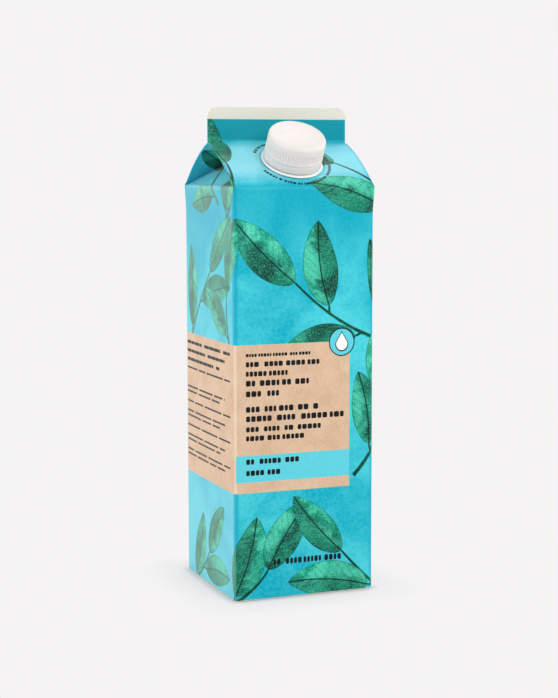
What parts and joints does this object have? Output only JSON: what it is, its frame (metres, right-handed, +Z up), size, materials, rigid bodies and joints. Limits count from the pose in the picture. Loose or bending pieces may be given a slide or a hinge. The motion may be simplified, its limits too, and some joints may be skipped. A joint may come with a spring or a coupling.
{
  "type": "hand soap refill carton",
  "caption": "Tall square gable-top carton of liquid soap with a sealed top fin, folded-in roof ends and a ribbed screw cap with its tamper band on the sloping front roof panel.",
  "frame": {"origin": "centre of the carton's base on the surface that it stands on", "axes": "+Z up, the cap's side towards -Y, the top fin along X"},
  "size_m": [0.0706, 0.0722, 0.2291],
  "materials": {
    "printed_board": "coated paperboard with a satin gloss, printed turquoise with green leaves and a kraft-coloured label",
    "spout_plastic": "satin white moulded polyethylene",
    "cap_plastic": "satin white moulded plastic"
  },
  "bodies": {
    "carton": {"carton": "printed_board", "spout": "spout_plastic"},
    "tamper_band": {"tamper_band": "cap_plastic"},
    "cap": {"cap": "cap_plastic"}
  },
  "joints": [
    {"name": "cap_turn", "type": "hinge", "parent": "carton", "child": "tamper_band", "pos_m": [0, -0.01851, 0.2031], "axis": [0, -0.5208, 0.8537], "range_deg": [0, 400]},
    {"name": "cap_rise", "type": "slide", "parent": "tamper_band", "child": "cap", "axis": [0, -0.5208, 0.8537], "range_m": [0, 0.01]}
  ],
  "couplings": [
    {"joint": "cap_turn", "follows": "cap_rise", "rad_per_m": 698.13}
  ]
}
